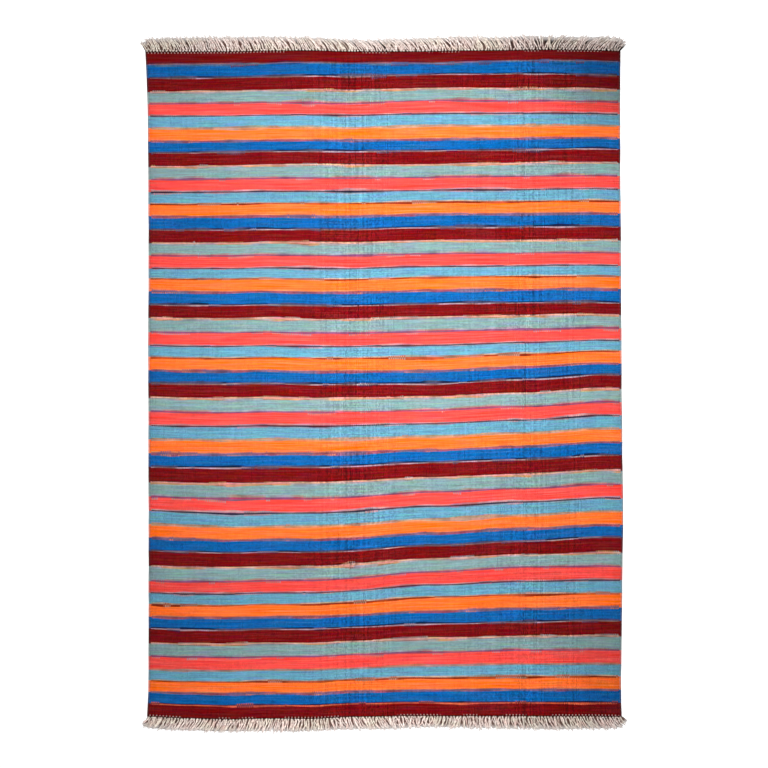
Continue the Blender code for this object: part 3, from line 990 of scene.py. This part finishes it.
class StrandTree(Loom):
    """A Geometry Nodes tree that grows one bent, knotted strand from each root."""

    def __init__(self, name, inputs):
        tree = bpy.data.node_groups.new(name, "GeometryNodeTree")
        super().__init__(tree)
        self.keys = {}
        tree.interface.new_socket("Geometry", in_out="INPUT", socket_type="NodeSocketGeometry")
        for label, kind in inputs.items():
            made = tree.interface.new_socket(label, in_out="INPUT", socket_type="NodeSocket" + kind)
            self.keys[label] = made.identifier
        tree.interface.new_socket("Geometry", in_out="OUTPUT", socket_type="NodeSocketGeometry")
        self.given = self.node("NodeGroupInput").twin

    def named(self, name, kind="FLOAT"):
        """A fact stored on the points."""
        return self.node("GeometryNodeInputNamedAttribute", {"data_type": kind}, {"Name": name})

    def store(self, geometry, name, value):
        """Keep a vector on the points under a name."""
        settings = {"data_type": "FLOAT_VECTOR", "domain": "POINT"}
        values = {"Geometry": geometry, "Name": name, "Value": value}
        return self.node("GeometryNodeStoreNamedAttribute", settings, values)

    def profile(self, name, ring, full=CURVE_RANGE):
        """A column of the strand's table, read by the share of its rings."""
        last = len(STRAND_RINGS) - 1
        points = [(step / last, getattr(row, name)) for step, row in enumerate(STRAND_RINGS)]
        return self.curve(points, ring, full)


def strand_tree():
    """Instances of a rod on the roots, made real and then bent, knotted and tapered ring by ring."""
    inputs = {"Sides": "Int", "Bend": "Float", "Width Scale": "Float", "Height Scale": "Float"}
    loom = StrandTree("fringe_strands", dict(inputs, Material="Material"))
    rings = {"Vertices": loom.given("Sides"), "Side Segments": len(STRAND_RINGS) - 1}
    rod = loom.node("GeometryNodeMeshCylinder", {"fill_type": "NGON"}, dict(rings, Radius=1.0, Depth=1.0))
    section = loom.vector_math("ADD", loom.node("GeometryNodeInputPosition"), (0.0, 0.0, 0.5))
    rod = loom.store(rod, "section", section)
    roots = loom.store(loom.given("Geometry"), "root", loom.node("GeometryNodeInputPosition"))
    placed = loom.node("GeometryNodeInstanceOnPoints", (), {"Points": roots, "Instance": rod})
    real = loom.node("GeometryNodeRealizeInstances", (), {"Geometry": placed})

    side, up, ring = loom.parts(loom.named("section", "FLOAT_VECTOR"))
    root_x, root_y, _ = loom.parts(loom.named("root", "FLOAT_VECTOR"))
    lean, reach, _ = loom.parts(loom.named("tip", "FLOAT_VECTOR"))
    curl, sway, phase = (loom.named(name) for name in ("curl", "sway", "phase"))
    bend = loom.given("Bend")
    along = loom.profile("along", ring, 1.0)
    width = loom.profile("width", ring) * loom.named("girth") * (MM * 0.5) * loom.given("Width Scale")
    height = loom.profile("height", ring) * loom.named("stoutness") * (MM * 0.5) * loom.given("Height Scale")

    # The strand's middle line, and which way it heads
    turn = 2 * math.pi * SWAY_TURNS
    swayed = sway * (loom.math("SINE", along * turn + phase) - loom.math("SINE", phase))
    gathered = loom.named("spread") * loom.smooth(along, *GATHER_RISE)
    bowed = curl * loom.math("SINE", along * math.pi)
    middle_x = root_x + gathered + lean * along ** bend + bowed + swayed
    middle_y = root_y + reach * along
    heading_x = lean * bend * along ** (bend - 1.0) + curl * math.pi * loom.math("COSINE", along * math.pi)
    heading_x = heading_x + sway * turn * loom.math("COSINE", along * turn + phase)
    run = loom.math("SQRT", heading_x * heading_x + reach * reach)
    rise = (ROOT_REST + loom.smooth(along, *REST_RISE) * (1.0 - ROOT_REST)) * loom.named("rest")

    x = middle_x + side * width * loom.size(reach) / run
    y = middle_y - side * width * heading_x * loom.math("SIGN", reach) / run
    z = rise + height + up * height
    bent = loom.node("GeometryNodeSetPosition", (), {"Geometry": real, "Position": loom.vector(x, y, z)})
    smooth = loom.node("GeometryNodeSetShadeSmooth", (), {"Geometry": bent})
    paint = {"Geometry": smooth, "Material": loom.given("Material")}
    loom.node("NodeGroupOutput", (), {"Geometry": loom.node("GeometryNodeSetMaterial", (), paint)})
    return loom


def cotton_finish(settings):
    """Undyed cotton: twisted, with painted light on top of each strand, painted shade between the plies and
    the strands that browns as it deepens, and paler at the tips.
    """
    material, loom, shader = new_finish("fringe_cotton", COTTON_SPECULAR)
    side, up, along = loom.parts(loom.attribute("section", "Vector"))
    tone, depth = loom.attribute("tone"), loom.attribute("depth")
    x, y, _ = loom.parts(loom.node("ShaderNodeTexCoord", output="Object"))
    blush = loom.patches(BLUSH, x, y) * loom.attribute("tinge")
    aged = loom.patches(AGED, x, y) * AGED_SHARE
    undyed = loom.mix(aged, toned(settings.cotton), toned(settings.aged))
    dyed = loom.mix(blush, undyed, toned(settings.blush))

    # Painted shade between the plies, low in the fringe, beside the knots and in patches for the gaps where
    # strands lie across each other, and painted light on top of each strand
    light = SIDE_LIGHT + loom.smooth(up, *SIDE_LIGHT_RISE) * (1.0 - SIDE_LIGHT)
    turn = loom.math("ARCTAN2", side, up) / math.pi
    ply_edge = loom.sides(loom.math("FRACT", turn + along * settings.twist_turns))
    foot = loom.fall(along, *FOOT_FALL) * loom.over(depth, KNOT_DEPTH) * FOOT_SHADE
    knot_foot = loom.fall(along, *KNOT_FOOT_FALL) * loom.under(depth, KNOT_DEPTH) * KNOT_FOOT_SHADE
    buried = (1.0 - depth * DEPTH_SHADE) * (1.0 - foot) * (1.0 - knot_foot)
    # Painted shade in patches for the gaps between strands, deeper where the tone is low
    gap_shade_depth = GAP_SHADE_LEAST + loom.math("MAXIMUM", GAP_SHADE_TONE - tone, 0.0)
    gap_shade = loom.patches(GAP_SHADES, x, y) * gap_shade_depth
    mottled = 1.0 + loom.uneven(COTTON_TONES, x, y)
    shade = light * (1.0 - ply_edge ** SHADE_POWER * PLY_SHADE) * buried * mottled * (1.0 - gap_shade)
    green, blue = (shade ** (1.0 + settings.warmth * part) for part in (GREEN_WARMTH, 1.0))
    browned = loom.vector_math("MULTIPLY", dyed, loom.vector(shade, green, blue))
    # Deep strands get more painted shade where the tone is low. The tone is partly the cotton's own and
    # partly painted light.
    power = loom.math("MAXIMUM", depth * DEEP_POWER - 1.0, 0.0)
    deeper = loom.math("MINIMUM", tone / DEEP_TONE, 1.0) ** power
    tip = loom.smooth(along, *TIP_RISE) * TIP_SHARE
    colour = loom.mix(tip, loom.scaled(browned, tone * deeper), toned(settings.bleached))
    colour = loom.scaled(colour, settings.light_share)
    fibre = loom.noise(COTTON_FIBRE, x, y)
    normal = loom.bump((1.0 - ply_edge ** 2.0) * PLY_HEIGHT + fibre * FIBRE_HEIGHT)
    roughness = COTTON_ROUGHNESS + fibre * COTTON_FUZZINESS
    feed(loom, shader, base_color=colour, roughness=roughness, normal=normal)
    return material


def build_fringe(name, lay, outward, settings, seed, finish):
    """One fringe: its roots, the tree that grows strands from them, and the plain mesh that comes of it."""
    roots = fringe_roots(name + "_roots", lay, outward, settings.fullness, seed)
    tree = strand_tree()
    modifier = roots.modifiers.new("strands", "NODES")
    modifier.node_group = tree.tree
    given = {
        "Sides": STRAND_SIDES,
        "Bend": settings.bend,
        "Width Scale": settings.strand_width,
        "Height Scale": settings.strand_height,
        "Material": finish,
    }
    for label, value in given.items():
        modifier[tree.keys[label]] = value
    depsgraph = bpy.context.evaluated_depsgraph_get()
    mesh = bpy.data.meshes.new_from_object(roots.evaluated_get(depsgraph), depsgraph=depsgraph)
    bpy.data.objects.remove(roots, do_unlink=True)
    mesh.name = name
    return finished_object(name, mesh)


# Stage ---------------------------------------------------------------

def lay_floor(settings):
    """A wide pale floor just under the rug."""
    half = FLOOR_SIZE / 2
    mesh = bpy.data.meshes.new("studio_floor")
    corners = [(x * half, y * half, -FLOOR_DROP) for x, y in ((-1, -1), (1, -1), (1, 1), (-1, 1))]
    mesh.from_pydata(corners, [], [(0, 1, 2, 3)])
    floor = finished_object("studio_floor", mesh)
    material, _, shader = new_finish("pale_floor")
    shader.inputs["Base Color"].default_value = toned(settings.floor)
    shader.inputs["Roughness"].default_value = FLOOR_ROUGHNESS
    shader.inputs["Emission Color"].default_value = WHITE
    shader.inputs["Emission Strength"].default_value = settings.floor_glow
    mesh.materials.append(material)


def hang_lamp(scene, settings):
    """One broad soft lamp over the upper middle of the rug, a little to the right."""
    lamp = bpy.data.lights.new("soft_lamp", "AREA")
    lamp.shape = "SQUARE"
    lamp.size = settings.lamp_size
    lamp.energy = settings.lamp_power
    holder = bpy.data.objects.new("soft_lamp", lamp)
    holder.location = LAMP_PLACE + (settings.lamp_height,)
    holder.visible_camera = False
    scene.collection.objects.link(holder)


def brighten_walls(scene):
    """Studio walls that are white near the floor, and dimmer overhead."""
    world = bpy.data.worlds.new("studio")
    world.use_nodes = True
    scene.world = world
    loom = Loom(world.node_tree)
    _, _, up = loom.parts(loom.node("ShaderNodeTexCoord", output="Generated"))
    background = world.node_tree.nodes["Background"]
    feed(loom, background, color=loom.mix(loom.smooth(up, *WALL_RISE), WHITE, OVERHEAD))
    background.inputs["Strength"].default_value = WALL_STRENGTH


def hold_camera(scene, settings):
    """A long lens straight above the rug, so that the picture shows it face on."""
    camera = bpy.data.cameras.new("overhead_camera")
    camera.lens = LENS
    camera.sensor_width = SENSOR
    camera.clip_end = CAMERA_REACH
    holder = bpy.data.objects.new("overhead_camera", camera)
    holder.location = (CAMERA_X, 0.0, settings.picture_width * LENS / SENSOR)
    scene.collection.objects.link(holder)
    scene.camera = holder
    scene.view_settings.view_transform = "Standard"


# Settings, operators and panel ---------------------------------------

def dye(name, description, colour):
    """A colour that a user may change. Its default is how it looks in daylight."""
    return bpy.props.FloatVectorProperty(
        name=name, description=description, default=linear(colour)[:3], subtype="COLOR", min=0.0, max=1.5
    )


def amount(name, description, default, **more):
    """A number that a user may change."""
    return bpy.props.FloatProperty(name=name, description=description, default=default, **more)


def length(name, description, default):
    """A size that a user may change."""
    return amount(name, description, default, unit="LENGTH", precision=5)


def factor(name, description, default, **more):
    """A share that a user may change."""
    return amount(name, description, default, subtype="FACTOR", **more)


class WeaveSettings(bpy.types.PropertyGroup):
    """Sizes and dyes of the woven field"""

    ribs: bpy.props.IntProperty(name="Ribs", description="Warp ribs across the field", default=427, min=20)
    rib_relief: length("Rib Relief", "From trough to crest of a rib", 0.42 * MM)
    weft_bar: length("Weft Bar", "How much of the length one weft takes on a rib", 2.2 * MM)
    weft_relief: length("Weft Relief", "How far each weft stands out", 0.32 * MM)
    line_wander: length("Line Wander", "How far the stripe lines waver", 4.2 * MM)
    light_share: factor("Light Share", "How much of a daylight colour it reflects", 0.62, min=0.0, max=1.0)
    warp: dye("Warp", "Cotton of the warp ends that peep out beside the knots", (232, 190, 182))
    maroon: dye("Maroon", "Wool of the darkest stripes", MAROON)
    sage: dye("Sage", "Wool of the grey-green stripes", SAGE)
    coral: dye("Coral", "Wool of the light red stripes", CORAL)
    sky: dye("Sky", "Wool of the light blue stripes", SKY)
    orange: dye("Orange", "Wool of the orange stripes", ORANGE)
    blue: dye("Blue", "Wool of the strong blue stripes", BLUE)


class FringeSettings(bpy.types.PropertyGroup):
    """Sizes and colours of the two fringes"""

    fullness: amount("Fullness", "How many strands each layer has, as a share of the table's", 1.0, min=0.1)
    strand_width: factor("Strand Width", "Width of every strand, as a share of the table's", 1.0)
    strand_height: factor("Strand Height", "Height of every strand, as a share of the table's", 1.0)
    bend: amount("Bend", "How late a strand turns to its lean: 1 is straight", 1.6, min=1.0)
    twist_turns: amount("Twist", "Turns of the plies from root to tip, counted twice", 7.0)
    warmth: amount("Warmth", "How much browner the cotton looks where it is dark", 0.27, min=0.0)
    light_share: factor("Light Share", "How much of a daylight colour it reflects", 0.79, min=0.0, max=1.0)
    cotton: dye("Cotton", "Cotton on top of a strand", (242, 229, 222))
    aged: dye("Aged", "Cotton where it has yellowed", (232, 228, 208))
    blush: dye("Blush", "Cotton where red dye has tinged it", (232, 197, 188))
    bleached: dye("Bleached", "Cotton at the tips", (244, 236, 232))


class StageSettings(bpy.types.PropertyGroup):
    """Floor, light and camera"""

    floor: dye("Floor", "Colour of the studio floor", (192, 192, 192))
    floor_glow: amount("Floor Glow", "How much the floor shines of itself, to stay white", 0.60, min=0.0)
    lamp_power: amount("Lamp Power", "Power of the soft lamp", 102.0, unit="POWER")
    lamp_height: length("Lamp Height", "Height of the soft lamp", 2.15)
    lamp_size: length("Lamp Size", "Side of the soft lamp", 1.2)
    picture_width: length("Picture Width", "Width of floor that the camera takes in", 2.769)


class KILIM_OT_weave_field(bpy.types.Operator):
    """Weave the striped field with its selvedges"""

    bl_idname = "kilim.weave_field"
    bl_label = "Weave Field"

    def execute(self, context):
        settings = context.scene.kilim_weave
        field = build_field(settings)
        field.data.materials.append(wool_finish(settings))
        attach(field, "root")
        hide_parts("kilim_field")
        return {"FINISHED"}


class KILIM_OT_tie_fringes(bpy.types.Operator):
    """Tie a fringe to each end of the field"""

    bl_idname = "kilim.tie_fringes"
    bl_label = "Tie Fringes"

    def execute(self, context):
        settings = context.scene.kilim_fringe
        cotton = cotton_finish(settings)
        ends = (
            ("rug_fringe_far", "fringe_far", FAR_LAY, 1, FAR_SEED),
            ("rug_fringe_near", "fringe_near", NEAR_LAY, -1, NEAR_SEED),
        )
        for name, node, lay, outward, seed in ends:
            fringe = build_fringe(name, lay, outward, settings, seed, cotton)
            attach(fringe, "root")
            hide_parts(node)
        return {"FINISHED"}


class KILIM_OT_declare_cloth(bpy.types.Operator):
    """Does nothing: the field and its fringes are left as they are."""

    bl_idname = "kilim.declare_cloth"
    bl_label = "Declare Cloth"

    def execute(self, context):
        return {"FINISHED"}


class KILIM_OT_set_stage(bpy.types.Operator):
    """Set the pale floor, the soft light and the camera straight above"""

    bl_idname = "kilim.set_stage"
    bl_label = "Set Stage"

    def execute(self, context):
        settings = context.scene.kilim_stage
        lay_floor(settings)
        hang_lamp(context.scene, settings)
        brighten_walls(context.scene)
        hold_camera(context.scene, settings)
        return {"FINISHED"}


class KILIM_PT_panel(bpy.types.Panel):
    """Settings and steps of the rug"""

    bl_label = "Kilim"
    bl_space_type = "VIEW_3D"
    bl_region_type = "UI"
    bl_category = "Kilim"

    def draw(self, context):
        layout = self.layout
        scene = context.scene
        for settings in (scene.kilim_weave, scene.kilim_fringe, scene.kilim_stage):
            box = layout.box()
            for name in settings.__annotations__:
                box.prop(settings, name)
        for operator in OPERATORS:
            layout.operator(operator.bl_idname)


OPERATORS = (KILIM_OT_weave_field, KILIM_OT_tie_fringes, KILIM_OT_set_stage, KILIM_OT_declare_cloth)
CLASSES = (WeaveSettings, FringeSettings, StageSettings) + OPERATORS + (KILIM_PT_panel,)


def register():
    for cls in CLASSES:
        bpy.utils.register_class(cls)
    bpy.types.Scene.kilim_weave = bpy.props.PointerProperty(type=WeaveSettings)
    bpy.types.Scene.kilim_fringe = bpy.props.PointerProperty(type=FringeSettings)
    bpy.types.Scene.kilim_stage = bpy.props.PointerProperty(type=StageSettings)


def unregister():
    del bpy.types.Scene.kilim_stage
    del bpy.types.Scene.kilim_fringe
    del bpy.types.Scene.kilim_weave
    for cls in reversed(CLASSES):
        bpy.utils.unregister_class(cls)


def main():
    register()
    bpy.ops.kilim.weave_field()
    bpy.ops.kilim.tie_fringes()
    bpy.ops.kilim.set_stage()
    bpy.ops.kilim.declare_cloth()


if __name__ == "__main__":
    main()
